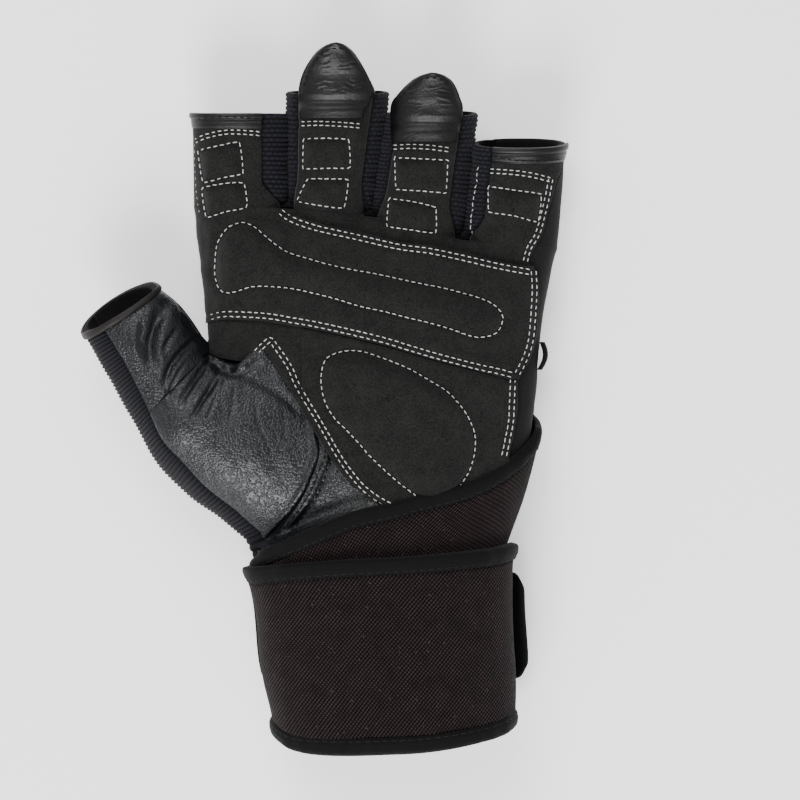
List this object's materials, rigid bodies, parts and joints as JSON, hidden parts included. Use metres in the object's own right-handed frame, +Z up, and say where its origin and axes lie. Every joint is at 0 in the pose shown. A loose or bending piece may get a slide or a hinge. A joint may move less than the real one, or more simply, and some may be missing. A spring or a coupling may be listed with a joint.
{
  "type": "weightlifting glove",
  "caption": "Left half-finger weightlifting glove with padded suede palm, leather thumb root, knit gussets, pull tabs and a canvas wrist wrap, lying palm up.",
  "frame": {"origin": "below the middle of the glove's box, on the surface that its back lies on", "axes": "+Z up out of the palm, +Y from the wrist to the finger mouths, +X to the little finger's side"},
  "size_m": [0.1473, 0.2109, 0.0467],
  "materials": {
    "suede": "matte napped suede, charcoal black",
    "leather": "smooth black leather with a soft sheen",
    "pebbled_leather": "pebbled black goatskin, half gloss",
    "finger_knit": "black crosswise rib knit",
    "rib_knit": "charcoal rib knit",
    "stretch_fabric": "black stretch fabric",
    "canvas": "brown-black ribbed cotton webbing",
    "binding_tape": "black folded nylon tape",
    "closure_loop": "black hook and loop fabric"
  },
  "bodies": {
    "root": {"palm_panel": "suede", "side_panel": "stretch_fabric", "back_panel": "stretch_fabric", "fourchette_index_middle": "finger_knit", "fourchette_middle_ring": "finger_knit", "fourchette_ring_little": "finger_knit", "upper_palm_overlay": "suede", "heel_overlay": "suede", "upper_palm_pad": "suede", "heel_pad": "suede", "index_pad_upper": "suede", "index_pad_lower": "suede", "middle_pad_upper": "suede", "middle_pad_lower": "suede", "ring_pad_upper": "suede", "ring_pad_lower": "suede", "little_pad": "suede", "index_band": "leather", "little_band": "leather", "middle_pull_tab": "leather", "ring_pull_tab": "leather", "thenar_shell": "pebbled_leather", "wrist_gusset": "pebbled_leather", "thumb_back": "stretch_fabric", "thumb_rib_strip": "rib_knit", "thumb_rim": "binding_tape", "wrap_first_turn": "canvas", "wrap_first_binding": "binding_tape", "wrap_cuff_turn": "canvas", "wrap_cuff_upper_binding": "binding_tape", "wrap_cuff_lower_binding": "binding_tape", "closure_tab": "closure_loop", "side_loop": "binding_tape"}
  },
  "joints": []
}
